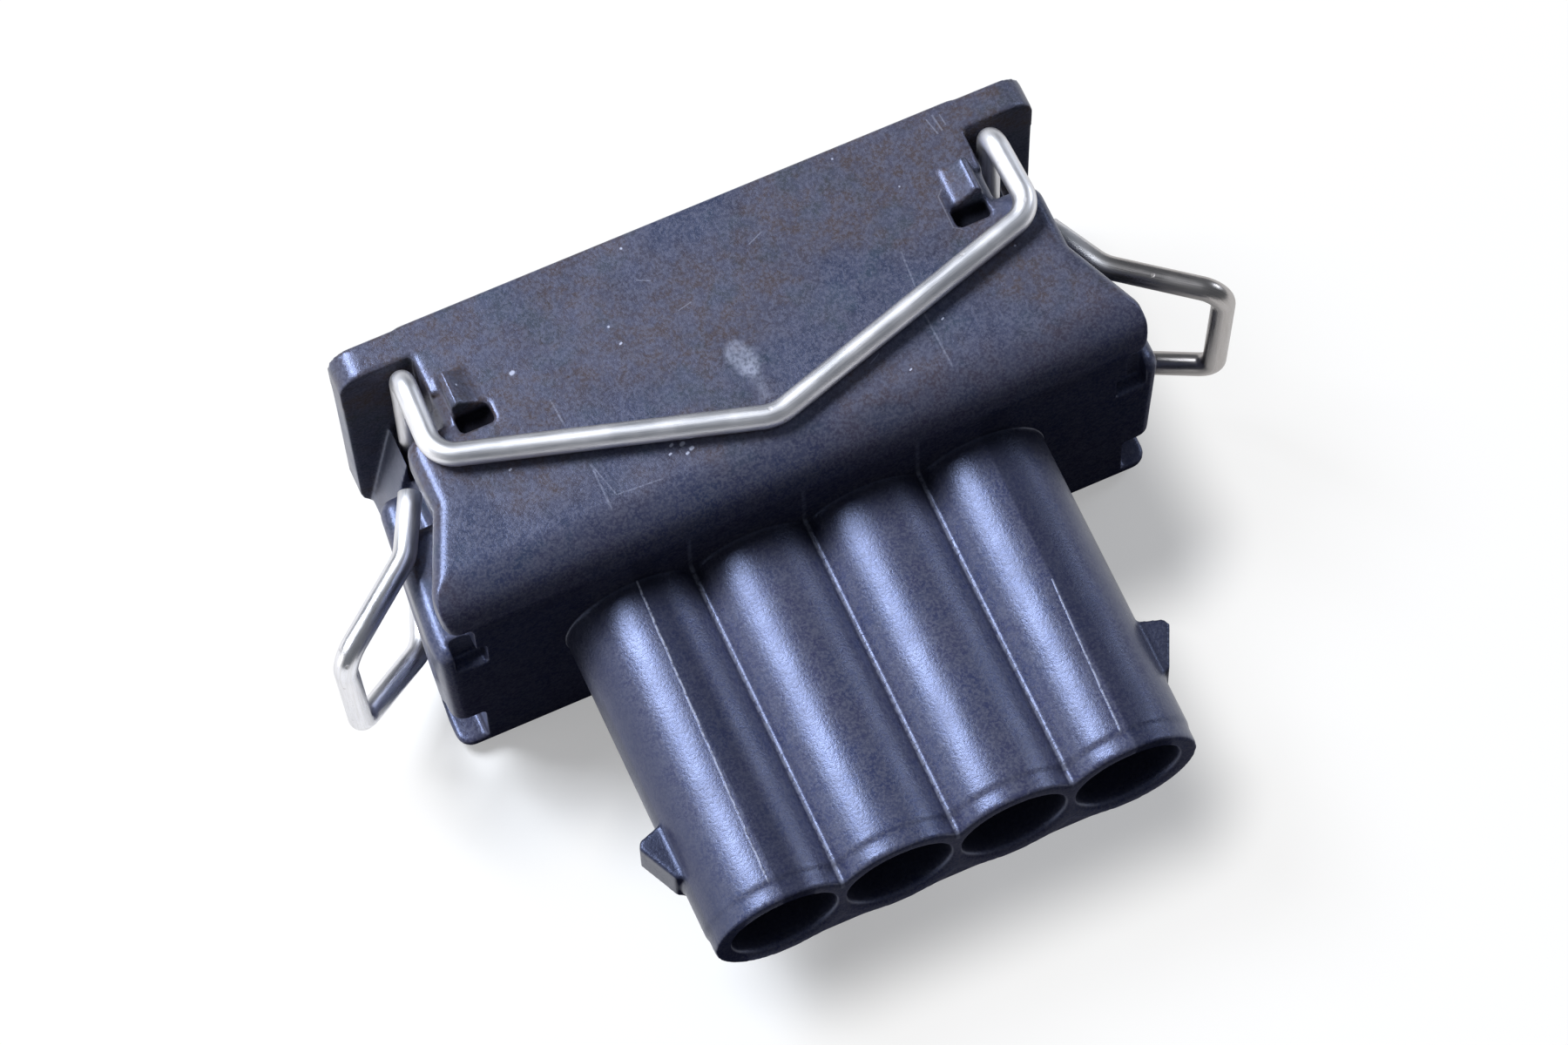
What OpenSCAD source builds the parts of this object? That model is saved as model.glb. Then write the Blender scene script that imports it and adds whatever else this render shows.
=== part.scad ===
// Sealed connector plug housing with a bent wire retaining spring.
// Mating axis along +Y, width along X, thickness along Z.
// The part lies on its flat back face, and the origin is the middle of its footprint.

/* [Circuits] */
// Number of circuits side by side
ways = 4; // [3:1:6]
// Distance between neighbouring circuits
pitch = 6; // [5.6:0.1:6.4]
// Height of the circuit axes above the back face
axis_h = 9.1; // [8.8:0.1:9.4]

/* [Wire seal tubes] */
// Outer diameter of a tube
tube_d = 7.4; // [7:0.1:7.7]
// Length of the tubes behind the body
tube_l = 17.8; // [15:0.2:21]
// Bore that holds a single-wire seal
seal_bore_d = 5.45; // [5:0.05:5.6]
// Depth of the seal bore from its mouth
seal_bore_l = 12; // [9:0.5:14]
// Length of the slightly thinner lip at the mouths
lip_l = 1.1; // [0.6:0.1:1.6]
// Depth of the step at the lip
lip_step = 0.08; // [0.05:0.01:0.2]
// Chamfer at the mouths
mouth_chamfer = 0.2; // [0.1:0.05:0.3]
// Depth of the web that fills the valleys at the back of the tubes
web_t = 3.4; // [2.6:0.1:3.6]

/* [Terminal cavities] */
// Width of a terminal cavity
cavity_w = 3.6; // [3:0.1:4]
// Height of a terminal cavity
cavity_h = 3; // [2.6:0.1:3.4]

/* [Cover hooks] */
// Reach of a hook beside the outer tube
hook_out = 1.25; // [1:0.05:1.8]
// Length of a hook along the tube
hook_l = 3.5; // [3:0.1:4.5]
// Thickness of a hook
hook_t = 2.4; // [1.8:0.1:3]
// Distance of a hook's flat shoulder from the mouths
hook_y = 6.7; // [6:0.1:9]
// Fall of a hook's shoulder towards its tip
hook_fall = 0.35; // [0.2:0.05:0.5]
// Blunting of a hook's tip
hook_tip = 0.2; // [0.1:0.05:0.3]
// Reach of the foot of a hook's lead-in
hook_foot = 0.25; // [0.1:0.05:0.4]

/* [Body] */
// Thickness from the back face to the front face
body_t = 17; // [16.6:0.1:17.6]
// Length from the rear face to the rim
body_l = 15.2; // [14.6:0.2:17]
// Front shoulder beyond the outer circuit
shoulder_out = 9.5; // [9.2:0.1:10]
// Length of the straight shoulder
shoulder_l = 1.6; // [1:0.1:2.5]
// Length of the slope from the shoulder to the neck
slope_l = 4.1; // [3:0.1:5]
// Front neck beyond the outer circuit
neck_out = 7.7; // [7.3:0.1:8.2]
// Length of the front slab from the rear face to the notch
front_slab_l = 9.6; // [9:0.1:10]
// Thickness of the front slab beside the channel
front_slab_t = 2.85; // [2.4:0.05:3]
// Back slab beyond the outer circuit, at the rear face
back_out = 10.1; // [9.8:0.1:10.4]
// Back slab beyond the outer circuit, below the wire slot
back_top_out = 9.2; // [9:0.1:9.5]
// Height of the ledge that carries the front side strands
ledge_h = 12.25; // [12:0.05:12.5]
// Length of the ledge from the rear face
ledge_l = 7.2; // [6.8:0.1:7.6]
// Height of the back slab beyond the ledge
low_slab_h = 8; // [7.6:0.1:8.4]
// Thickness of the back fin below the back channel
back_fin_t = 1; // [0.8:0.05:1.2]
// Height of the back channel
back_channel_h = 3.2; // [3:0.1:3.4]
// Solid part of the rear face beyond the outer circuit, between the channels' ends
rear_wall_out = 8.2; // [7.9:0.1:8.6]
// Thickness of the rear wall that closes the channels
rear_wall_t = 1.5; // [1:0.1:2]
// Draft of the back slab's sides towards the back face
back_draft = 0.4; // [0.2:0.05:0.6]
// Edge radius of the moulding
edge_r = 0.8; // [0.5:0.1:1]
// Large radius between the front face and the rear face
brow_r = 2.6; // [2:0.1:3]

/* [Hood] */
// Length of the rim flange
rim_l = 1.75; // [1.5:0.05:2.2]
// Rim beyond the outer circuit, at the front
rim_out = 9.35; // [9:0.05:9.6]
// Rim beyond the outer circuit, at the back
rim_back_out = 9.2; // [9:0.05:9.4]
// Corner radius of the rim seen along the mating axis
rim_r = 1.3; // [0.8:0.1:1.6]
// Setback of the flange from the hood's mouth
rim_step = 0.1; // [0.05:0.05:0.3]
// Height of the hood's back wall above the back face
hood_back_h = 2.2; // [1.8:0.1:2.6]
// Length of the hood's full-width band below the flange
band_l = 2.3; // [2:0.1:2.6]
// Inset of the hood's side walls below that band
band_inset = 0.5; // [0.3:0.05:0.6]
// Hood wall beyond the outer circuit, at the front face
hood_out = 5.85; // [5.6:0.05:6.1]
// Hood wall beyond the outer circuit, at its back wall
hood_back_out = 8.9; // [8.6:0.05:9]
// Wall thickness of the hood
hood_wall = 1.3; // [1:0.1:1.5]
// Floor thickness between the rear face and the hood's cavity
floor_t = 2.4; // [2:0.1:3.5]

/* [Nose] */
// Nose beyond the outer circuit
nose_out = 3; // [2.7:0.1:3.2]
// Thickness of the nose
nose_t = 7; // [6.4:0.1:7.4]
// Distance of the nose's tip below the rim
nose_back = 1; // [0.5:0.1:2]
// Corner radius of the nose
nose_r = 1.5; // [1:0.1:2]

/* [Interface seal] */
// Height of the seal ring
seal_l = 3.2; // [2.6:0.1:4]
// Thickness of the seal ring over its lips
seal_t = 1.2; // [0.9:0.05:1.35]
// Depth of the grooves between the lips
seal_groove = 0.35; // [0.2:0.05:0.5]
// Number of lips
seal_lips = 3; // [2:1:4]

/* [Wire spring] */
// Diameter of the spring wire
wire_d = 1.2; // [1:0.05:1.3]
// Free travel of the spring along the mating axis
travel = 0.7; // [0.4:0.05:0.9]
// Gap between the cross strands at rest and the flange
rest_gap = 0.4; // [0.3:0.1:0.9]
// Running clearance around the wire
wire_gap = 0.1; // [0.05:0.01:0.15]
// Clearance between a leg and the notch's inner wall
leg_gap = 0.35; // [0.2:0.05:0.4]
// Distance of the V's tip from the rear face
tip_y = 3; // [2.6:0.1:4]
// Distance of the V's upper bends from the rear face
bend_y = 7.8; // [7:0.1:9]
// Upper bends beyond the outer circuit
bend_out = 6.65; // [6.4:0.05:6.8]
// Cross strands beyond the outer circuit
strand_out = 6.5; // [6.4:0.05:6.6]
// Front elbows beyond the outer circuit
front_elbow_out = 9.5; // [9.2:0.1:9.8]
// Back elbows beyond the outer circuit
back_elbow_out = 9.6; // [9.2:0.1:9.8]
// Distance of the back elbows from the rear face
back_elbow_y = 4.9; // [4.6:0.1:5.6]
// Distance of the front elbows from the rear face
front_elbow_y = 5.6; // [5.2:0.1:6.4]
// Ears beyond the outer circuit
ear_out = 14.3; // [13.6:0.1:14.6]
// Distance of the ears from the rear face
ear_y = 1.8; // [1.4:0.1:2.6]
// Cut ends beyond the outer circuit
end_out = 7.95; // [7.9:0.05:8.3]
// Distance of the cut ends from the rear face
end_y = 8.6; // [8:0.1:9]
// Inward lean of the ears towards the back
ear_lean = 0.3; // [0.2:0.1:0.8]
// Height of the back strands in their channel
back_strand_h = 3; // [2.8:0.05:3.2]
// Height of the back strands at the ears
ear_back_h = 4.8; // [4.4:0.1:6]
// Centreline radius of the tight bends
bend_r = 1.15; // [0.9:0.05:1.4]
// Centreline radius of the V's upper bends
v_bend_r = 1.5; // [1.2:0.1:2]
// Centreline radius of the wide bends
wide_bend_r = 2.2; // [1.6:0.1:3]

/* [Retaining lugs] */
// Middle of a lug beyond the outer circuit
lug_out = 4.25; // [4:0.05:4.3]
// Width of a lug
lug_w = 1.4; // [1:0.1:1.6]
// Length of a lug along the mating axis
lug_l = 2; // [1.5:0.1:2.4]
// Height of a lug above the front face
lug_h = 0.85; // [0.6:0.05:1.1]
// Width of the bevel on a lug's outer edge
lug_bevel = 0.35; // [0.2:0.05:0.5]
// Height of a lug's outer side
lug_side_h = 0.6; // [0.4:0.05:0.7]
// Width of the shallow flank on a lug's inner side
lug_flank_w = 0.5; // [0.3:0.05:0.6]
// Height reached by that flank
lug_flank_h = 0.4; // [0.2:0.05:0.5]
// Distance of a lug's lower end from the rear face
lug_y = 9.8; // [9.2:0.1:10.2]
// Depth of the pocket below a lug
pocket_h = 1; // [0.6:0.05:1.1]
// Width of the pocket below a lug
pocket_w = 1.8; // [1.4:0.1:2]
// Length of the pocket below a lug
pocket_l = 1.1; // [0.8:0.1:1.5]

/* [Hidden] */

eps = 0.01;
past = 1;

row_x = (ways - 1) * pitch / 2;
y_mouth = -(tube_l + body_l) / 2;
y_rear = y_mouth + tube_l;
y_rim = y_rear + body_l;
y_floor = y_rear + floor_t;
y_nose = y_rim - nose_back;
y_flange = y_rim - rim_l;

circuit_x = [for (i = [0 : ways - 1]) (i - (ways - 1) / 2) * pitch];

// The slot that the cross strands run in, between the neck and the flange
strand_y = y_flange - rest_gap - wire_d / 2;
slot_y = strand_y - travel - wire_d / 2 - wire_gap;
slot_x = row_x + strand_out - wire_d / 2 - leg_gap;
y_band = y_flange - band_l;

front_slab_z = body_t - front_slab_t;
wire_front_z = body_t + wire_d / 2 + wire_gap;
ledge_strand_z = ledge_h + wire_d / 2 + wire_gap;
channel_x = row_x + rear_wall_out;

hood_slope = (hood_back_out - hood_out) / (body_t - hood_back_h);
function hood_x(z) = row_x + hood_out + (body_t - z) * hood_slope;

steps = 24;
bore_steps = 64;
wire_sides = 14;
bend_step = 15;

// ---------------------------------------------------------------- helpers

// Both halves of a shape that is mirrored about the middle plane
module both_sides() {
    children();
    mirror([1, 0, 0]) children();
}

// Extrusion along +Y of a shape drawn in the X-Z plane
module along_y(y0, y1) {
    translate([0, y1, 0]) rotate([90, 0, 0]) linear_extrude(y1 - y0) children();
}

// Soft-edged block through corner points [x, y], the bottom drawn in by draft
module soft_block(corners, z0, z1, r, draft = 0) {
    hull() for (side = [-1, 1], c = corners) {
        translate([side * (c.x - r), c.y, z1 - r]) sphere(r, $fn = steps);
        translate([side * (c.x - r - draft), c.y, z0 + r]) sphere(r, $fn = steps);
    }
}

function unit(v) = v / norm(v);
function opening(a, b, c) = acos(unit(a - b) * unit(c - b));

// ---------------------------------------------------------------- housing

module tube_shape(d, y0, y1) {
    for (x = circuit_x)
        translate([x, y0, axis_h]) rotate([-90, 0, 0]) cylinder(d = d, h = y1 - y0, $fn = bore_steps);
}

module tubes() {
    tube_shape(tube_d - 2 * lip_step, y_mouth, y_mouth + lip_l + eps);
    tube_shape(tube_d, y_mouth + lip_l, y_rear + floor_t / 2);
    translate([-row_x, y_mouth + lip_step, axis_h - web_t])
        cube([2 * row_x, tube_l, web_t]);
}

// Barb that a rear cover snaps over, beside the outer tubes
module cover_hook() {
    root = row_x + tube_d / 2;
    y_top = y_mouth + hook_y;
    translate([0, 0, axis_h - hook_t / 2])
        linear_extrude(hook_t)
            polygon([
                [root - past, y_top],
                [root, y_top],
                [root + hook_out - hook_tip, y_top - hook_fall],
                [root + hook_out, y_top - 2 * hook_fall],
                [root + hook_foot, y_top - hook_l + 2 * hook_fall],
                [root - past, y_top - hook_l]
            ]);
}

module front_shoulders() {
    y0 = y_rear + edge_r;
    soft_block([
        [row_x + shoulder_out, y0],
        [row_x + shoulder_out, y_rear + shoulder_l],
        [row_x + neck_out, y_rear + shoulder_l + slope_l]
    ], front_slab_z, body_t, edge_r);
}

// Narrow end of the front slab, up to the notch
module front_neck() {
    soft_block([
        [row_x + neck_out, y_rear + shoulder_l + slope_l],
        [row_x + neck_out, y_rear + front_slab_l - edge_r]
    ], front_slab_z, body_t, edge_r);
}

// Slab towards the back face: a high ledge, then a lower stretch up to the band
module back_slab() {
    soft_block([
        [row_x + back_out, y_rear + edge_r],
        [row_x + back_out, y_rear + shoulder_l],
        [row_x + back_out - (back_out - back_top_out) * ledge_l / body_l, y_rear + ledge_l - edge_r]
    ], 0, ledge_h, edge_r, back_draft);
    soft_block([
        [row_x + back_out, y_rear + shoulder_l],
        [row_x + back_top_out, slot_y - edge_r]
    ], 0, low_slab_h, edge_r, back_draft);
}

// Hood with slanted sides between two heights along Y, its side walls drawn in by inset
module hood_prism(y0, y1, inset) {
    back_x = hood_x(hood_back_h) - inset;
    front_x = hood_x(body_t) - inset;
    along_y(y0, y1)
        offset(r = edge_r, $fn = steps) offset(delta = -edge_r)
            polygon([
                [-back_x, hood_back_h], [back_x, hood_back_h],
                [front_x, body_t], [-front_x, body_t]
            ]);
}

module hood_core() {
    hood_prism(y_rear, y_band + eps, band_inset);
    hood_prism(y_band, y_rim, 0);
}

module rim_flange() {
    along_y(y_flange, y_rim - rim_step)
        hull() both_sides() {
            translate([row_x + rim_out - rim_r, body_t - rim_r]) circle(rim_r, $fn = steps);
            translate([row_x + rim_back_out - rim_r, hood_back_h + rim_r]) circle(rim_r, $fn = steps);
        }
}

// Wall across the rear face that closes the channels beside the circuits
module rear_wall() {
    along_y(y_rear, y_rear + rear_wall_t)
        translate([-channel_x, edge_r]) square([2 * channel_x, body_t - 2 * edge_r]);
}

// Side profile that rounds the brow between the front and rear faces
module brow_profile() {
    rotate([90, 0, 90])
        linear_extrude(4 * (row_x + back_out), center = true)
            union() {
                translate([y_rear, 0]) square([body_l, body_t - brow_r]);
                translate([y_rear + brow_r, 0]) square([body_l - brow_r, body_t]);
                translate([y_rear + brow_r, body_t - brow_r]) circle(brow_r, $fn = 4 * steps);
            }
}

module nose() {
    half = row_x + nose_out - nose_r;
    hull() for (sx = [-1, 1], sz = [-1, 1])
        translate([sx * half, y_floor - eps, axis_h + sz * (nose_t / 2 - nose_r)])
            rotate([-90, 0, 0]) cylinder(r = nose_r, h = y_nose - y_floor + eps, $fn = steps);
}

// Space between the hood and the nose, open at the rim
module hood_cavity() {
    z0 = hood_back_h + hood_wall;
    z1 = body_t - hood_wall;
    difference() {
        along_y(y_floor, y_rim + past)
            polygon([
                [-hood_x(z0) + hood_wall, z0], [hood_x(z0) - hood_wall, z0],
                [hood_x(z1) - hood_wall, z1], [-hood_x(z1) + hood_wall, z1]
            ]);
        nose();
    }
}

// Opening in the hood's side wall that a cross strand moves in
module strand_slot() {
    leg_x = row_x + strand_out + wire_d / 2 + wire_gap;
    slot_l = y_flange - slot_y;
    translate([slot_x, slot_y, ledge_strand_z]) cube([shoulder_out - hood_out, slot_l, body_t]);
    translate([slot_x, slot_y, -past]) cube([leg_x - slot_x, slot_l, body_t]);
}

// Channel that a back strand moves in, open at the slab's side and rear corner
module back_channel() {
    top = [row_x + strand_out, strand_y];
    elbow = [row_x + back_elbow_out, y_rear + back_elbow_y];
    ear = [row_x + ear_out, y_rear + ear_y];
    down = [0, -travel];
    translate([0, 0, back_fin_t])
        linear_extrude(back_channel_h)
            union() {
                offset(r = wire_d / 2 + wire_gap, $fn = steps)
                    polygon([top, elbow, ear, ear + down, elbow + down, top + down]);
                polygon([
                    [channel_x, y_rear - past], [ear.x, y_rear - past],
                    ear, elbow, [channel_x, elbow.y]
                ]);
            }
}

// Shallow pocket in the rear face below a ledge
module ledge_pocket() {
    translate([channel_x - pocket_l / 2, y_rear - past, ledge_h - 2 * pocket_h])
        cube([1.5 * pocket_l, past + pocket_h, 2 * pocket_h + eps]);
}

// Lug with a sloped inner flank that keeps the spring's leg in place
module retaining_lug() {
    x0 = row_x + lug_out - lug_w / 2;
    x1 = row_x + lug_out + lug_w / 2;
    along_y(y_rear + lug_y, y_rear + lug_y + lug_l)
        polygon([
            [x0, body_t - eps], [x1, body_t - eps], [x1, body_t + lug_side_h],
            [x1 - lug_bevel, body_t + lug_h], [x0 + lug_flank_w, body_t + lug_flank_h]
        ]);
}

module lug_pocket() {
    translate([row_x + lug_out + lug_w / 2 - pocket_w, y_rear + lug_y - pocket_l, body_t - pocket_h])
        cube([pocket_w, pocket_l, pocket_h + past]);
}

// Stepped seal bore, terminal cavity and the opening at the nose's tip
module circuit_bore() {
    translate([0, y_mouth - past, axis_h]) rotate([-90, 0, 0])
        cylinder(d = seal_bore_d, h = seal_bore_l + past, $fn = bore_steps);
    chamfer_d = seal_bore_d + 2 * mouth_chamfer;
    translate([0, y_mouth - eps, axis_h]) rotate([-90, 0, 0])
        cylinder(d1 = chamfer_d, d2 = seal_bore_d - eps, h = mouth_chamfer, $fn = bore_steps);
    translate([-cavity_w / 2, y_mouth + seal_bore_l - eps, axis_h - cavity_h / 2])
        cube([cavity_w, y_nose - y_mouth, cavity_h]);
}

module housing_outside() {
    intersection() {
        union() {
            front_shoulders();
            front_neck();
            back_slab();
            rear_wall();
            hood_core();
            rim_flange();
        }
        brow_profile();
    }
    tubes();
    both_sides() {
        cover_hook();
        retaining_lug();
    }
}

module housing() {
    color([0.13, 0.14, 0.19])
        difference() {
            housing_outside();
            hood_cavity();
            for (x = circuit_x) translate([x, 0, 0]) circuit_bore();
            both_sides() {
                strand_slot();
                back_channel();
                ledge_pocket();
                lug_pocket();
            }
        }
}

// ---------------------------------------------------------------- wire spring

// Points along the bend of centreline radius r at b, on the way from a to c
function bend_points(a, b, c, r) =
    let (
        half = opening(a, b, c) / 2,
        centre = b + unit(unit(a - b) + unit(c - b)) * r / sin(half),
        start = b + unit(a - b) * r / tan(half) - centre,
        side = cross(unit(cross(b - a, c - b)), start),
        sweep = 180 - 2 * half,
        n = max(2, ceil(sweep / bend_step))
    )
    [for (k = [0 : n]) centre + start * cos(sweep * k / n) + side * sin(sweep * k / n)];

// Centreline through corner points, each inner corner with its own bend radius
function centreline(points, radii) =
    let (last = len(points) - 1)
    concat(
        [points[0]],
        [for (i = [1 : last - 1]) each bend_points(points[i - 1], points[i], points[i + 1], radii[i])],
        [points[last]]
    );

// Direction of travel at each point of a path
function tangents(path) =
    let (last = len(path) - 1)
    [for (i = [0 : last])
        i == 0 ? unit(path[1] - path[0])
        : i == last ? unit(path[last] - path[last - 1])
        : unit(unit(path[i] - path[i - 1]) + unit(path[i + 1] - path[i]))];

// Side vectors carried along the path without twist
function carried(t, i, u) =
    let (v = unit(u - (u * t[i]) * t[i]))
    i == len(t) - 1 ? [v] : concat([v], carried(t, i + 1, v));

// Round wire of diameter d swept along a path
module swept_wire(path, d, sides) {
    t = tangents(path);
    u = carried(t, 0, [0, 0, 1]);
    last = len(path) - 1;
    rings = [for (i = [0 : last], k = [0 : sides - 1])
        path[i] + (u[i] * cos(360 * k / sides) + cross(t[i], u[i]) * sin(360 * k / sides)) * d / 2];
    skin = [for (i = [0 : last - 1], k = [0 : sides - 1])
        let (k1 = (k + 1) % sides)
        [i * sides + k, (i + 1) * sides + k, (i + 1) * sides + k1, i * sides + k1]];
    first_cap = [for (k = [0 : sides - 1]) k];
    last_cap = [for (k = [sides - 1 : -1 : 0]) last * sides + k];
    polyhedron(rings, concat([first_cap], skin, [last_cap]), convexity = 6);
}

// Half of the spring from the V's tip to a cut end, as [point, bend radius]
half_spring = [
    [[row_x + bend_out, y_rear + bend_y, wire_front_z], v_bend_r],
    [[row_x + strand_out, strand_y, wire_front_z], bend_r],
    [[row_x + strand_out, strand_y, back_strand_h], bend_r],
    [[row_x + back_elbow_out, y_rear + back_elbow_y, back_strand_h], wide_bend_r],
    [[row_x + ear_out - ear_lean, y_rear + ear_y, ear_back_h], bend_r],
    [[row_x + ear_out, y_rear + ear_y, ledge_strand_z], bend_r],
    [[row_x + front_elbow_out, y_rear + front_elbow_y, ledge_strand_z], wide_bend_r],
    [[row_x + end_out, y_rear + end_y, ledge_strand_z], 0]
];

module wire_spring() {
    n = len(half_spring);
    left = [for (i = [n - 1 : -1 : 0]) [-half_spring[i][0].x, half_spring[i][0].y, half_spring[i][0].z]];
    tip = [[0, y_rear + tip_y, wire_front_z]];
    right = [for (h = half_spring) h[0]];
    radii_left = [for (i = [n - 1 : -1 : 0]) half_spring[i][1]];
    radii_right = [for (h = half_spring) h[1]];
    color([0.78, 0.79, 0.82])
        swept_wire(
            centreline(concat(left, tip, right), concat(radii_left, [wide_bend_r], radii_right)),
            wire_d, wire_sides
        );
}

// ---------------------------------------------------------------- interface seal

module seal_band(y0, y1, t) {
    half_w = row_x + nose_out - nose_r;
    half_t = nose_t / 2 - nose_r;
    along_y(y0, y1)
        translate([0, axis_h])
            difference() {
                offset(r = nose_r + t, $fn = steps) square([2 * half_w, 2 * half_t], center = true);
                offset(r = nose_r, $fn = steps) square([2 * half_w, 2 * half_t], center = true);
            }
}

// Ring seal around the foot of the nose, with lips and grooves between them
module interface_seal() {
    lip = seal_l / (2 * seal_lips - 1);
    color([0.55, 0.2, 0.12]) {
        seal_band(y_floor, y_floor + seal_l, seal_t - seal_groove);
        for (i = [0 : seal_lips - 1])
            seal_band(y_floor + 2 * i * lip, y_floor + (2 * i + 1) * lip, seal_t);
    }
}

housing();
wire_spring();
interface_seal();
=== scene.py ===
"""Sealed connector plug housing with a bent wire spring: its visual model and a small studio."""
import math

import bpy
from mathutils import Matrix, Vector


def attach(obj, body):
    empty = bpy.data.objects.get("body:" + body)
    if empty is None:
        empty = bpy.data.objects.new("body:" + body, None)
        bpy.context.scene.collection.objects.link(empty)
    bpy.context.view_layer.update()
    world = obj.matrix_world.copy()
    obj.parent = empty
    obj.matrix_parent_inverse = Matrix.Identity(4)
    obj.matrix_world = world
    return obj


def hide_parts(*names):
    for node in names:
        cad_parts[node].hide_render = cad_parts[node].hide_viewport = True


MM = 0.001

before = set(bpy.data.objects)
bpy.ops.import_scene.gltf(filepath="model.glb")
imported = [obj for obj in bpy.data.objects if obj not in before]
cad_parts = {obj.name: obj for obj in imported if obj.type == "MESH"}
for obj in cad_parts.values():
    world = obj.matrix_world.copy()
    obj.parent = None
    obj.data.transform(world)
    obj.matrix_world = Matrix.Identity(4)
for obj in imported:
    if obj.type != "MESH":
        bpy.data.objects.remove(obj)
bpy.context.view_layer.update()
scene = bpy.context.scene

# Places on the part, in millimetres in its own frame: X across the row, Y to the hood, Z to the front
PITCH = 6.0
# Heights of the tubes' axes, crests and valleys and of the front face
TUBE_AXIS = 9.1
CREST = 12.8
VALLEY = 10.6
FRONT = 17.0
# Rear face of the body and mouths of the tubes
REAR = 1.3
MOUTH = -16.5


# ---------------------------------------------------------------- node helpers

class Nodes:
    """A new material, and short ways to add nodes to it."""

    def __init__(self, name):
        self.mat = bpy.data.materials.new(name)
        self.mat.use_nodes = True
        self.nodes = self.mat.node_tree.nodes
        self.links = self.mat.node_tree.links

    def put(self, socket, value):
        if isinstance(value, bpy.types.NodeSocket):
            self.links.new(value, socket)
        else:
            socket.default_value = value

    def math(self, op, a, b=0.0, clamp=False):
        n = self.nodes.new("ShaderNodeMath")
        n.operation = op
        n.use_clamp = clamp
        self.put(n.inputs[0], a)
        self.put(n.inputs[1], b)
        return n.outputs[0]

    def add(self, a, b, clamp=False):
        return self.math("ADD", a, b, clamp)

    def minus(self, a, b):
        return self.math("SUBTRACT", a, b)

    def times(self, a, b):
        return self.math("MULTIPLY", a, b)

    def most(self, masks):
        out = masks[0]
        for mask in masks[1:]:
            out = self.math("MAXIMUM", out, mask)
        return out

    def vec(self, op, a, b=None, scale=None, out="Vector"):
        n = self.nodes.new("ShaderNodeVectorMath")
        n.operation = op
        self.put(n.inputs[0], a)
        if b is not None:
            self.put(n.inputs[1], b)
        if scale is not None:
            self.put(n.inputs["Scale"], scale)
        return n.outputs[out]

    def step(self, value, a, b, low_out=0.0, high_out=1.0):
        """Smooth change from low_out at a to high_out at b."""
        n = self.nodes.new("ShaderNodeMapRange")
        n.interpolation_type = "SMOOTHSTEP"
        self.put(n.inputs["Value"], value)
        n.inputs["From Min"].default_value = a
        n.inputs["From Max"].default_value = b
        n.inputs["To Min"].default_value = low_out
        n.inputs["To Max"].default_value = high_out
        return n.outputs["Result"]


class Look(Nodes):
    """A material with one Principled shader. Its places p, x, y and z are in millimetres."""

    def __init__(self, name):
        super().__init__(name)
        self.shader = self.nodes["Principled BSDF"]
        coords = self.nodes.new("ShaderNodeTexCoord")
        self.p = self.vec("SCALE", coords.outputs["Object"], scale=1 / MM)
        self.facing = coords.outputs["Normal"]
        self.x, self.y, self.z = self.split(self.p)

    def set(self, name, value):
        self.put(self.shader.inputs[name], value)

    def split(self, v):
        n = self.nodes.new("ShaderNodeSeparateXYZ")
        self.put(n.inputs[0], v)
        return n.outputs[0], n.outputs[1], n.outputs[2]

    def noise(self, v, scale, detail=2.0, rough=0.5, out=0):
        n = self.nodes.new("ShaderNodeTexNoise")
        self.put(n.inputs["Vector"], v)
        n.inputs["Scale"].default_value = scale
        n.inputs["Detail"].default_value = detail
        n.inputs["Roughness"].default_value = rough
        return n.outputs[out]

    def cells(self, v, scale):
        n = self.nodes.new("ShaderNodeTexVoronoi")
        self.put(n.inputs["Vector"], v)
        n.inputs["Scale"].default_value = scale
        return n.outputs["Distance"]

    def blend(self, share, a, b):
        n = self.nodes.new("ShaderNodeMix")
        n.data_type = "RGBA"
        self.put(n.inputs[0], share)
        self.put(n.inputs[6], a)
        self.put(n.inputs[7], b)
        return n.outputs[2]

    def stroke(self, a, b, width, soft=0.6, v=None):
        """1 within width/2 of the line from a to b, in mm, falling to 0 softly."""
        a, b = Vector(a), Vector(b)
        ba = b - a
        rel = self.vec("SUBTRACT", v or self.p, a)
        along = self.vec("DOT_PRODUCT", rel, ba, out="Value")
        share = self.math("MULTIPLY", along, 1.0 / max(ba.dot(ba), 1e-6), clamp=True)
        foot = self.vec("SCALE", tuple(ba), scale=share)
        dist = self.vec("LENGTH", self.vec("SUBTRACT", rel, foot), out="Value")
        return self.step(dist, width / 2 * (1 + soft), width / 2 * (1 - soft))

    def front_lines(self, lines):
        """Thin lines on the front face, each given as x, y, x, y and width."""
        return self.most([self.stroke((x0, y0, FRONT), (x1, y1, FRONT), w) for x0, y0, x1, y1, w in lines])

    def bump(self, height, strength, distance, normal=None):
        n = self.nodes.new("ShaderNodeBump")
        n.inputs["Strength"].default_value = strength
        n.inputs["Distance"].default_value = distance
        self.put(n.inputs["Height"], height)
        if normal is not None:
            self.put(n.inputs["Normal"], normal)
        return n.outputs[0]


def new_piece(name, mesh, mat, body):
    obj = bpy.data.objects.new(name, mesh)
    scene.collection.objects.link(obj)
    obj.data.materials.clear()
    obj.data.materials.append(mat)
    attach(obj, body)
    return obj


# ---------------------------------------------------------------- housing

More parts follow.
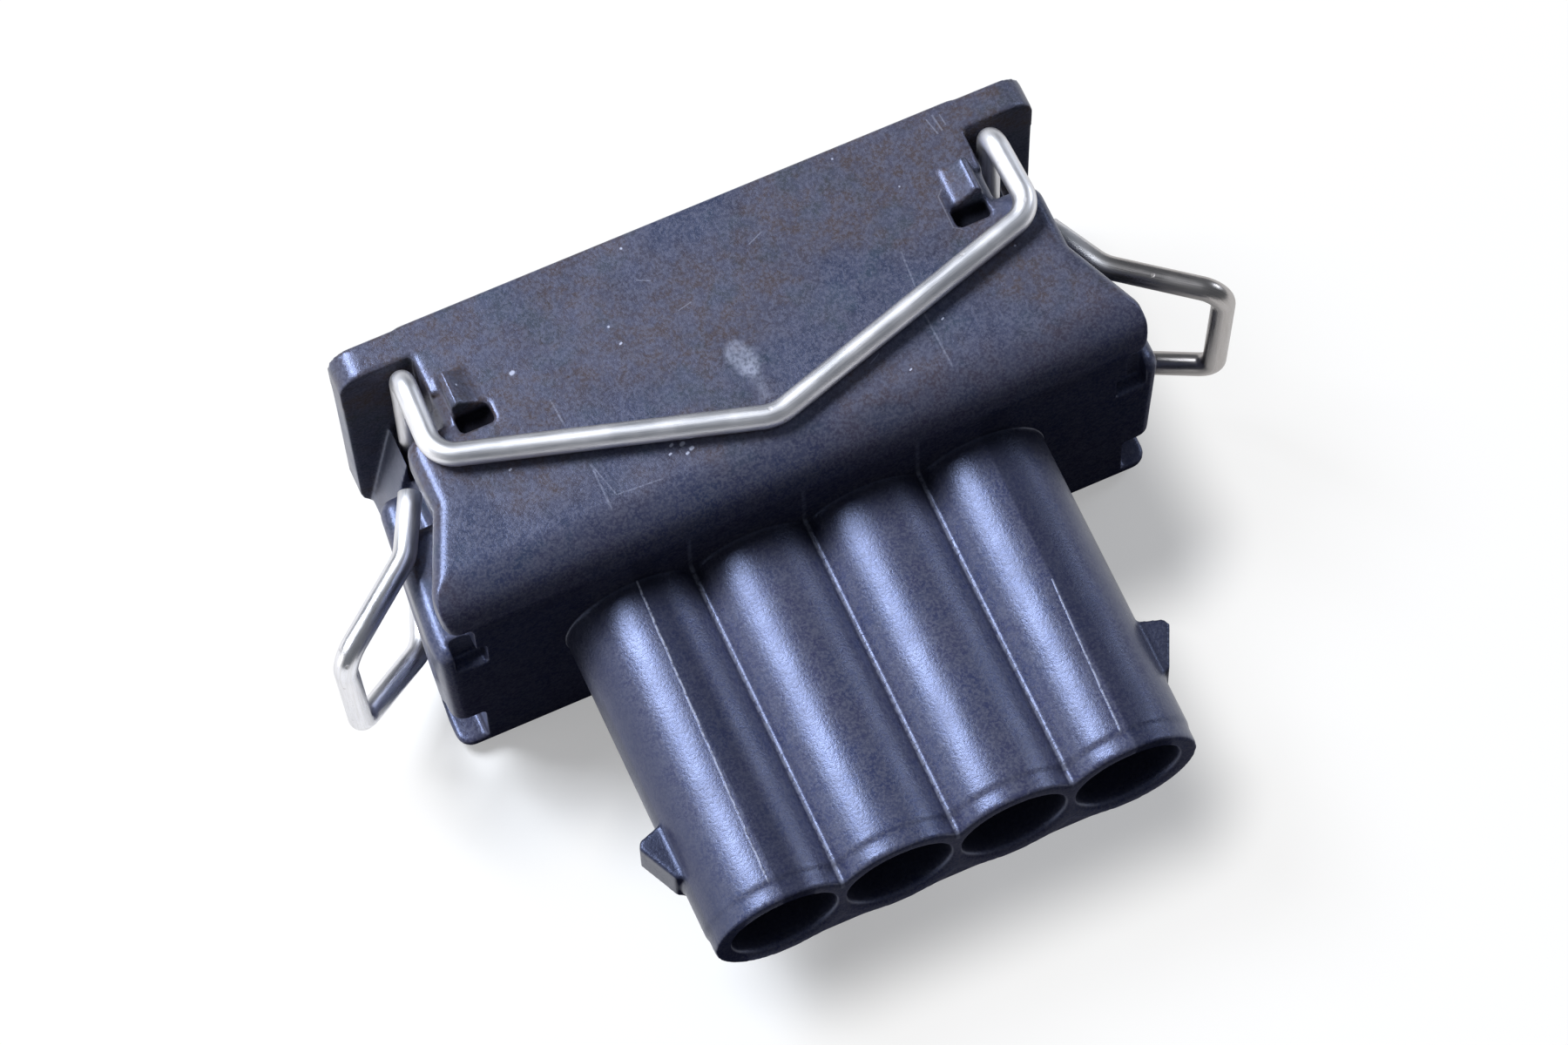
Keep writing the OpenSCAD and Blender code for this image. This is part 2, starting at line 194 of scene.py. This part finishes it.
# Colours of the plastic, and of the painted shade and bluish light on it
BLUE_BLACK = (0.030, 0.036, 0.068, 1)
BROWN_BLACK = (0.068, 0.050, 0.046, 1)
TEAL_BLACK = (0.033, 0.052, 0.072, 1)
TUBE_LIGHT_TINT = (0.028, 0.034, 0.090, 1)
MOTTLE = (0.062, 0.066, 0.106, 1)
GRAIN = (0.106, 0.108, 0.146, 1)
BORE_SHADE = (0.012, 0.013, 0.022, 1)
BAND_SHADE = (0.014, 0.016, 0.034, 1)
FLANK_SHADE = (0.016, 0.018, 0.040, 1)
ROOT_SHADE = (0.014, 0.015, 0.026, 1)
POCKET_SHADE = (0.006, 0.006, 0.010, 1)
PATCH_BLUE = (0.022, 0.027, 0.055, 1)
RUBBED = (0.50, 0.53, 0.66, 1)
SHEEN = (0.52, 0.62, 1.0, 1)

# Marks on the front face: x, y, x, y and width of each line
SCRATCHES = (
    (13.15, 15.9, 13.35, 15.0, 0.07),
    (13.5, 16.0, 13.62, 15.1, 0.09),
    (13.85, 15.9, 13.9, 15.3, 0.06),
    (-1.9, 11.6, -1.2, 11.75, 0.05),
    (-3.1, 13.9, -2.5, 13.6, 0.06),
    (2.6, 13.4, 3.4, 13.75, 0.05),
    (5.3, 5.2, 5.9, 5.5, 0.05),
)
WITNESS_LINES = (
    (-9.4, 9.8, -9.3, 8.3, 0.09),
    (-8.98, 5.9, -8.99, 2.4, 0.1),
    (9.1, 9.95, 8.95, 8.0, 0.09),
    (8.75, 6.6, 8.82, 3.4, 0.1),
    (-8.94, 5.85, -8.48, 4.0, 0.06),
    (-8.48, 4.0, -6.2, 3.85, 0.06),
)
RUBBED_OUTLINE = (
    (12.25, 12.2, 11.95, 11.9, 0.07),
    (11.95, 11.9, 11.93, 10.1, 0.07),
    (11.93, 10.1, 12.3, 9.85, 0.06),
)
# Light specks: x, y and width
SPECKS = (
    (-10.54, 11.89, 0.2), (-5.18, 11.14, 0.1), (-2.99, 2.38, 0.12), (-12.61, 7.28, 0.1),
    (-5.12, 5.25, 0.14), (-4.62, 5.1, 0.2), (-4.3, 4.71, 0.18), (-4.58, 4.55, 0.12),
    (-5.35, 4.85, 0.1), (6.9, 4.1, 0.08), (9.4, 5.9, 0.08), (2.2, 3.2, 0.08),
)


def plastic_colour(m, wavy, grain):
    """Cloudy black with brown and teal patches, a painted bluish light on the tubes, a fine mottle and a
    finer grain.
    """
    cloud = m.noise(wavy, 0.16, 3.0)
    patches = m.noise(wavy, 0.5, 3.0)
    mottle = m.noise(m.p, 1.4, 4.0, 0.7)
    colour = m.blend(m.step(cloud, 0.36, 0.58), BLUE_BLACK, BROWN_BLACK)
    colour = m.blend(m.step(patches, 0.5, 0.68, 0.0, 0.6), colour, TEAL_BLACK)
    # Painted bluish light: the tubes are tinted bluer than the body
    colour = m.blend(m.step(m.y, REAR + 4.0, REAR - 1.0, 0.0, 0.8), colour, TUBE_LIGHT_TINT)
    colour = m.blend(m.step(mottle, 0.4, 0.6, 0.0, 0.65), colour, MOTTLE)
    return m.blend(m.step(grain, 0.43, 0.61, 0.0, 0.6), colour, GRAIN)


def in_bores(m):
    off_axis = m.minus(PITCH / 2, m.math("PINGPONG", m.x, PITCH / 2))
    off_height = m.minus(m.z, TUBE_AXIS)
    radius = m.math("SQRT", m.add(m.math("POWER", off_axis, 2.0), m.math("POWER", off_height, 2.0)))
    inside = m.times(m.step(radius, 2.86, 2.72), m.step(m.y, MOUTH, MOUTH + 0.9))
    return m.times(inside, m.step(m.y, -2.5, -3.0))


def rubbed_marks(m, wavy, flash):
    """How far scuffs, flash, scratches, witness lines and dust lighten the plastic."""
    breakup = m.step(m.noise(m.p, 5.0, 3.0), 0.35, 0.6)
    oval = m.stroke((-0.3, 8.45, FRONT), (-0.05, 7.55, FRONT), 1.15, 0.35, wavy)
    tail = m.stroke((-0.05, 7.5, FRONT), (0.12, 5.8, FRONT), 0.5, 0.9, wavy)
    scuff = m.add(m.times(oval, 0.75), m.times(tail, 0.4))
    scuff = m.times(scuff, m.add(m.times(breakup, 0.6), 0.4))

    witness = m.times(m.front_lines(WITNESS_LINES), m.add(m.times(breakup, 0.7), 0.3))
    outline = m.times(m.front_lines(RUBBED_OUTLINE), 0.8)
    lines = m.most([m.front_lines(SCRATCHES), witness, outline])

    specks = m.most([m.stroke((x, y, FRONT), (x + 0.08, y + 0.03, FRONT), w, 0.4) for x, y, w in SPECKS])
    on_front = m.step(m.z, FRONT - 0.25, FRONT - 0.05)
    dust = m.times(m.step(m.cells(m.p, 0.55), 0.05, 0.02), on_front)

    light = m.add(m.times(scuff, 0.42), m.times(flash, 0.55))
    light = m.add(light, m.times(lines, 0.2))
    return m.add(light, m.times(m.most([specks, dust]), 0.85), clamp=True)


def tube_flash(m, warp, on_tubes):
    """Ragged flash along the crests of the outer tubes, and thin lines in the valleys."""
    ragged = m.vec("ADD", m.p, m.vec("SCALE", warp, scale=0.22))
    crests = m.most([
        m.stroke((-8.85, REAR, CREST), (-9.4, MOUTH, CREST), 0.1, 0.5, ragged),
        m.stroke((9.3, -7.0, CREST), (8.9, MOUTH + 0.2, CREST), 0.09, 0.5, ragged),
    ])
    valleys = m.most([
        m.step(m.math("ABSOLUTE", m.minus(m.x, x)), 0.16, 0.04) for x in (-PITCH, 0, PITCH)
    ])
    valleys = m.times(valleys, m.step(m.z, VALLEY, VALLEY + 0.4))
    dashes = m.step(m.noise(m.p, 3.5, 2.0), 0.36, 0.56)
    flash = m.times(m.add(crests, m.times(valleys, 0.45)), on_tubes)
    return m.times(flash, m.add(m.times(dashes, 0.75), 0.25))


def plastic_look():
    m = Look("moulded_plastic")
    warp = m.vec("SUBTRACT", m.noise(m.p, 1.3, out="Color"), (0.5, 0.5, 0.5))
    warp = m.vec("SCALE", warp, scale=0.5)
    wavy = m.vec("ADD", m.p, warp)
    grain = m.noise(m.p, 6.5, 3.0, 0.7)
    on_tubes = m.step(m.y, REAR + 0.1, REAR - 0.1)

    colour = plastic_colour(m, wavy, grain)
    # Painted shade darkens the inside of the bores
    colour = m.blend(m.times(in_bores(m), 0.7), colour, BORE_SHADE)

    # Painted shade in bands beside the flash of the outer tubes, on the left flank and at the roots, which
    # are duller too
    shade_bands = m.most([
        m.times(m.step(m.x, a, a + 0.25), m.step(m.x, b + 0.6, b - 0.2))
        for a, b in ((-9.15, -7.9), (9.2, 10.7))
    ])
    shade_bands = m.times(m.times(shade_bands, on_tubes), m.step(m.z, VALLEY - 0.4, VALLEY + 0.2))
    flank_shade = m.times(m.step(m.x, -10.7, -11.9, 0.0, 0.55), on_tubes)
    root_shade = m.times(m.step(m.y, REAR - 3.2, REAR - 0.9, 0.0, 0.6), on_tubes)
    colour = m.blend(m.times(shade_bands, 0.62), colour, BAND_SHADE)
    colour = m.blend(flank_shade, colour, FLANK_SHADE)
    colour = m.blend(root_shade, colour, ROOT_SHADE)
    painted_shade = m.most([shade_bands, flank_shade, m.times(root_shade, 1.5)])

    # Painted shade darkens the pockets below the lugs, and one lug has a dark patch beside it
    pocket_shade = m.most([
        m.stroke((side * 12.45, 10.5, 16.1), (side * 13.6, 10.5, 16.1), 1.5, 0.25) for side in (-1, 1)
    ])
    patch = m.stroke((12.28, 10.35, FRONT), (12.28, 11.85, FRONT), 0.5, 0.5)
    colour = m.blend(m.times(pocket_shade, 0.9), colour, POCKET_SHADE)
    colour = m.blend(m.times(patch, 0.6), colour, PATCH_BLUE)

    flash = tube_flash(m, warp, on_tubes)
    rubbed = rubbed_marks(m, wavy, flash)
    m.set("Base Color", m.blend(rubbed, colour, RUBBED))

    # Satin with a slightly uneven gloss, duller where it is rubbed
    gloss = m.step(m.noise(wavy, 0.45, 3.0), 0.3, 0.7, 0.31, 0.38)
    gloss = m.add(gloss, m.times(m.minus(grain, 0.5), 0.3))
    gloss = m.add(gloss, m.times(rubbed, 0.15), clamp=True)
    # The faces towards the wires have a matt texture
    _, lengthwise, _ = m.split(m.facing)
    matt = m.most([m.step(lengthwise, -0.4, -0.85), pocket_shade])
    m.set("Roughness", m.add(gloss, m.times(matt, 0.36), clamp=True))
    sheen = m.minus(0.95, m.times(matt, 0.89))
    # The painted shade on the tubes also takes gloss away
    m.set("Specular IOR Level", m.minus(sheen, m.times(painted_shade, 0.45)))
    m.set("Specular Tint", SHEEN)

    # Grain, faint sink waves and the raised flash
    fine = m.bump(grain, 0.5, 0.035 * MM)
    sink = m.bump(m.noise(m.p, 0.35, 1.0), 0.35, 0.12 * MM, fine)
    m.set("Normal", m.bump(flash, 0.6, 0.05 * MM, sink))
    return m.mat


def evaluated_mesh(obj):
    return bpy.data.meshes.new_from_object(obj.evaluated_get(bpy.context.evaluated_depsgraph_get()))


def softened(name, source, voxel, rounds, most):
    """A copy of the CAD node's mesh with its sharp edges eased and no more than most triangles."""
    mesh = source.data.copy()
    mesh.transform(source.matrix_world)
    obj = bpy.data.objects.new(name, mesh)
    scene.collection.objects.link(obj)
    remesh = obj.modifiers.new("remesh", "REMESH")
    remesh.mode = "VOXEL"
    remesh.voxel_size = voxel
    smooth = obj.modifiers.new("smooth", "SMOOTH")
    smooth.factor = 0.5
    smooth.iterations = rounds
    result = evaluated_mesh(obj)
    triangles = sum(len(p.vertices) - 2 for p in result.polygons)
    if triangles > most:
        obj.modifiers.clear()
        obj.data = result
        obj.modifiers.new("thin", "DECIMATE").ratio = most / triangles
        result = evaluated_mesh(obj)
    bpy.data.objects.remove(obj)
    for p in result.polygons:
        p.use_smooth = True
    return result


housing = new_piece(
    "plug_housing",
    softened("housing_soft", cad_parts["housing"], voxel=0.13 * MM, rounds=3, most=190000),
    plastic_look(),
    "plug",
)
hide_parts("housing")


# ---------------------------------------------------------------- wire spring

WIRE_D = 1.2
WIRE_GAP = 0.1
# Heights of the V, of the strands on the ledges and of those in the back channels
V_Z = FRONT + WIRE_D / 2 + WIRE_GAP
LEDGE_Z = 12.95
BACK_Z = 3.0
CROSS_X, CROSS_Y = 15.5, 13.75
EAR_X, EAR_BACK_X, EAR_Y = 23.284, 23.0, 3.1
TIGHT_BEND, V_BEND, WIDE_BEND = 1.15, 1.5, 2.2

V_TIP = (Vector((0, REAR + 3.0, V_Z)), WIDE_BEND)
# Corners of the right half from the V to the cut end, each with the radius of its bend
HALF_SPRING = (
    ((15.65, REAR + 7.8, V_Z), V_BEND),
    ((CROSS_X, CROSS_Y, V_Z), TIGHT_BEND),
    ((CROSS_X, CROSS_Y, BACK_Z), TIGHT_BEND),
    ((18.6, REAR + 4.9, BACK_Z), WIDE_BEND),
    ((EAR_BACK_X, EAR_Y, BACK_Z + 1.8), TIGHT_BEND),
    ((EAR_X, EAR_Y, LEDGE_Z), TIGHT_BEND),
    ((18.5, REAR + 5.6, LEDGE_Z), WIDE_BEND),
    ((16.95, REAR + 8.6, LEDGE_Z), 0.0),
)

# Colours of the steel, and of the painted shade on it
STEEL = (0.84, 0.85, 0.90, 1)
BRIGHT_STEEL = (0.92, 0.92, 0.96, 1)
DRAWN_STEEL = (0.72, 0.70, 0.69, 1)
NICK = (0.34, 0.31, 0.29, 1)
STEEL_EDGE_SHADE = (0.26, 0.25, 0.25, 1)
RIGHT_EAR_SHADE = (0.27, 0.24, 0.215, 1)


def bend(a, b, c, r, turn=math.radians(4)):
    """Points along the bend of radius r at b, on the way from a to c."""
    u, w = (a - b).normalized(), (c - b).normalized()
    half = u.angle(w) / 2
    centre = b + (u + w).normalized() * (r / math.sin(half))
    start = b + u * (r / math.tan(half)) - centre
    side = (b - a).normalized().cross(w).normalized().cross(start)
    sweep = math.pi - 2 * half
    n = max(2, math.ceil(sweep / turn))
    return [centre + start * math.cos(sweep * k / n) + side * math.sin(sweep * k / n) for k in range(n + 1)]


def spring_path():
    """Centreline of the wire in mm, from one cut end to the other."""
    right = [(Vector(p), r) for p, r in HALF_SPRING]
    left = [(Vector((-p.x, p.y, p.z)), r) for p, r in reversed(right)]
    corners = left + [V_TIP] + right
    path = [corners[0][0]]
    for (a, _), (b, r), (c, _) in zip(corners, corners[1:], corners[2:]):
        path += bend(a, b, c, r)
    path.append(corners[-1][0])
    return path


def in_short_steps(path, longest=1.0):
    """The path with points in between, so that the finish can follow the wire."""
    out = [path[0]]
    for p in path[1:]:
        steps = max(1, math.ceil((p - out[-1]).length / longest))
        q = out[-1]
        out += [q.lerp(p, k / steps) for k in range(1, steps + 1)]
    return out


def wire_mesh(path, sides=28, bevel=0.06, end_share=0.9):
    """A round wire along the path. The UV map "run" holds the share around it and the mm along it."""
    last = len(path) - 1
    tangents = [(path[min(i + 1, last)] - path[max(i - 1, 0)]).normalized() for i in range(last + 1)]
    u = Vector((0, 0, 1))
    at = 0.0
    verts, faces, uvs, rings = [], [], [], []
    for i, (p, t) in enumerate(zip(path, tangents)):
        u = (u - t * u.dot(t)).normalized()
        w = t.cross(u)
        at += (p - path[i - 1]).length if i else 0.0
        ring = range(len(verts), len(verts) + sides)
        angles = [2 * math.pi * k / sides for k in range(sides)]
        verts += [(p + (u * math.cos(a) + w * math.sin(a)) * (WIRE_D / 2)) * MM for a in angles]
        rings.append((ring, at))
    for (r0, s0), (r1, s1) in zip(rings, rings[1:]):
        for k in range(sides):
            k1 = (k + 1) % sides
            faces.append((r0[k], r0[k1], r1[k1], r1[k]))
            uvs.append(((k / sides, s0), ((k + 1) / sides, s0), ((k + 1) / sides, s1), (k / sides, s1)))

    # Cut ends: a small bevel and a flat face
    first_end = (rings[0], -tangents[0], path[0], False)
    last_end = (rings[-1], tangents[-1], path[-1], True)
    for (ring, s), outwards, p, ahead in (first_end, last_end):
        inner = range(len(verts), len(verts) + sides)
        verts += [p * MM + (verts[k] - p * MM) * end_share for k in ring]
        for k in ring:
            verts[k] = verts[k] - outwards * (bevel * MM)
        for k in range(sides):
            k1 = (k + 1) % sides
            quad = (ring[k], ring[k1], inner[k1], inner[k])
            faces.append(quad if ahead else quad[::-1])
            uvs.append(((0.5, s),) * 4)
        faces.append(tuple(inner) if ahead else tuple(reversed(inner)))
        uvs.append(((0.5, s),) * sides)

    mesh = bpy.data.meshes.new("spring_wire")
    mesh.from_pydata([tuple(v) for v in verts], [], faces)
    layer = mesh.uv_layers.new(name="run")
    for poly, corner_uvs in zip(mesh.polygons, uvs):
        poly.use_smooth = len(poly.vertices) == 4
        for loop, uv in zip(poly.loop_indices, corner_uvs):
            layer.data[loop].uv = uv
    mesh.validate()
    mesh.update()
    return mesh


def wire_look():
    m = Look("spring_steel")
    uv = m.nodes.new("ShaderNodeUVMap")
    uv.uv_map = "run"
    around, along, _ = m.split(uv.outputs[0])
    around = m.times(around, 2 * math.pi)
    # Places on the wire, stretched along it for the marks of drawing
    drawing = m.nodes.new("ShaderNodeCombineXYZ")
    m.put(drawing.inputs[0], m.times(m.math("COSINE", around), 6.0))
    m.put(drawing.inputs[1], m.times(m.math("SINE", around), 6.0))
    m.put(drawing.inputs[2], m.times(along, 0.35))
    drawn = m.noise(drawing.outputs[0], 1.6, 4.0, 0.6)
    patches = m.noise(m.p, 0.5, 3.0)
    spots = m.step(m.cells(m.p, 1.1), 0.16, 0.08)
    nicks = m.times(spots, m.step(m.noise(m.p, 0.8, 1.0), 0.5, 0.62))
    colour = m.blend(m.step(patches, 0.35, 0.65), STEEL, BRIGHT_STEEL)
    colour = m.blend(m.step(drawn, 0.4, 0.7, 0.0, 0.5), colour, DRAWN_STEEL)
    colour = m.blend(m.times(nicks, 0.6), colour, NICK)

    # Painted shade darkens the steel where it turns away from the view, least on the left ear
    edge = m.nodes.new("ShaderNodeLayerWeight")
    edge.inputs["Blend"].default_value = 0.5
    turned_shade = m.step(edge.outputs["Facing"], 0.4, 0.97, 0.0, 0.6)
    turned_shade = m.times(turned_shade, m.step(m.x, -17.0, -18.5, 1.0, 0.45))
    colour = m.blend(turned_shade, colour, STEEL_EDGE_SHADE)
    # Painted shade makes the right ear darker than the rest
    colour = m.blend(m.step(m.x, 17.6, 19.2, 0.0, 0.72), colour, RIGHT_EAR_SHADE)
    m.set("Base Color", colour)
    m.set("Metallic", 1.0)

    # Both ears are glossier than the rest
    rough = m.step(drawn, 0.3, 0.7, 0.38, 0.49)
    rough = m.minus(rough, m.step(m.math("ABSOLUTE", m.x), 17.6, 19.2, 0.0, 0.14))
    rough = m.add(rough, m.times(m.step(patches, 0.4, 0.7), 0.06))
    m.set("Roughness", m.add(rough, m.times(nicks, 0.2), clamp=True))
    lines = m.bump(drawn, 0.25, 0.02 * MM)
    m.set("Normal", m.bump(m.minus(1.0, nicks), 0.3, 0.03 * MM, lines))
    return m.mat


spring = new_piece(
    "retaining_wire", wire_mesh(in_short_steps(spring_path())), wire_look(), "spring"
)
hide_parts("wire_spring")


# ---------------------------------------------------------------- interface seal

def rubber_look():
    m = Look("seal_rubber")
    speckle = m.noise(m.p, 5.0, 3.0)
    cloud = m.noise(m.p, 0.5, 2.0)
    colour = m.blend(m.step(cloud, 0.35, 0.65), (0.27, 0.075, 0.035, 1), (0.33, 0.10, 0.05, 1))
    colour = m.blend(m.step(speckle, 0.5, 0.8, 0.0, 0.5), colour, (0.40, 0.16, 0.10, 1))
    m.set("Base Color", colour)
    m.set("Roughness", m.step(speckle, 0.3, 0.7, 0.5, 0.68))
    m.set("Normal", m.bump(speckle, 0.3, 0.03 * MM))
    return m.mat


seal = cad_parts["interface_seal"]
seal.data.materials.clear()
seal.data.materials.append(rubber_look())


# ---------------------------------------------------------------- floor

FLOOR_SIZE = 3.0
FLOOR_Z = -0.0001
# Centre and half size of the rectangles that the body and the tubes cover
BODY_PLACE = ((0, 0.0055, 0), (0.017, 0.008, 1))
TUBES_PLACE = ((0, -0.007, 0), (0.0115, 0.008, 1))


def floor_look():
    """White to the camera and to reflections, a soft shadow near the object, pale grey to other rays."""
    m = Nodes("pale_floor")
    m.nodes.clear()
    position = m.nodes.new("ShaderNodeNewGeometry").outputs["Position"]

    def beyond(centre, half):
        """Distance in metres from a rectangle on the floor."""
        off = m.vec("ABSOLUTE", m.vec("SUBTRACT", position, centre))
        off = m.vec("MAXIMUM", m.vec("SUBTRACT", off, half), (0, 0, 0))
        return m.vec("LENGTH", m.vec("MULTIPLY", off, (1, 1, 0)), out="Value")

    def diffuse(colour):
        n = m.nodes.new("ShaderNodeBsdfDiffuse")
        n.inputs["Color"].default_value = colour
        return n.outputs[0]

    def mix(share, a, b):
        n = m.nodes.new("ShaderNodeMixShader")
        for socket, value in zip(n.inputs, (share, a, b)):
            m.links.new(value, socket)
        return n.outputs[0]

    glow = m.nodes.new("ShaderNodeEmission")
    glow.inputs["Color"].default_value = (1, 1, 1, 1)
    glow.inputs["Strength"].default_value = 1.0
    # The glow gives way under the object and close to it, where its shadow lies
    nearest = m.math("MINIMUM", beyond(*BODY_PLACE), beyond(*TUBES_PLACE))
    glow_share = m.step(nearest, 0.0005, 0.006, 0.35, 0.88)
    shown = mix(glow_share, diffuse((0.9, 0.9, 0.9, 1)), glow.outputs[0])

    path = m.nodes.new("ShaderNodeLightPath").outputs
    seen = m.most([path["Is Camera Ray"], path["Is Glossy Ray"], path["Is Transmission Ray"]])
    out = m.nodes.new("ShaderNodeOutputMaterial")
    m.links.new(mix(seen, diffuse((0.22, 0.22, 0.23, 1)), shown), out.inputs[0])
    return m.mat


bpy.ops.mesh.primitive_plane_add(size=FLOOR_SIZE, location=(0, 0, FLOOR_Z))
floor = bpy.context.object
floor.name = "floor"
floor.data.materials.append(floor_look())


# ---------------------------------------------------------------- light and view

SKY = (0.86, 0.91, 1.0, 1)
SKY_STRENGTH = 0.15
LAMP_AIM = (0, 0, 0.01)
# Name, place, size, energy and colour of each lamp
LAMPS = (
    ("key", (-0.20, 0.21, 0.38), 0.19, 3.2, (0.90, 0.94, 1.0)),
    ("side", (0.42, 0.08, 0.22), 0.12, 0.38, (0.86, 0.91, 1.0)),
    ("left", (-0.40, 0.04, 0.09), 0.2, 0.3, (1.0, 0.99, 0.97)),
)

world = bpy.data.worlds.new("studio")
scene.world = world
world.use_nodes = True
sky = world.node_tree.nodes["Background"]
sky.inputs["Color"].default_value = SKY
sky.inputs["Strength"].default_value = SKY_STRENGTH

for name, place, size, energy, colour in LAMPS:
    lamp = bpy.data.lights.new(name, "AREA")
    lamp.size = size
    lamp.energy = energy
    lamp.color = colour
    stand = bpy.data.objects.new(name, lamp)
    scene.collection.objects.link(stand)
    stand.location = place
    stand.rotation_euler = (Vector(LAMP_AIM) - Vector(place)).to_track_quat("-Z", "Y").to_euler()

# The camera looks at a point of the part from the photo's side, in mm and degrees
VIEW_POINT = (-0.594, 2.501, TUBE_AXIS)
VIEW_DISTANCE = 339.09
VIEW_TURN = -21.657
VIEW_TILT = 23.049
VIEW_ROLL = -2.694

camera = bpy.data.objects.new("view", bpy.data.cameras.new("view"))
scene.collection.objects.link(camera)
camera.matrix_world = (
    Matrix.Translation(Vector(VIEW_POINT) * MM)
    @ Matrix.Rotation(math.radians(VIEW_TURN), 4, "Z")
    @ Matrix.Rotation(math.radians(VIEW_TILT), 4, "X")
    @ Matrix.Rotation(math.radians(VIEW_ROLL), 4, "Z")
    @ Matrix.Translation((0, 0, VIEW_DISTANCE * MM))
)
camera.data.lens = 160.0
camera.data.sensor_width = 36.0
camera.data.clip_start = 0.01
camera.data.clip_end = 10.0
camera.data.dof.use_dof = False
scene.camera = camera

scene.view_settings.view_transform = "Standard"
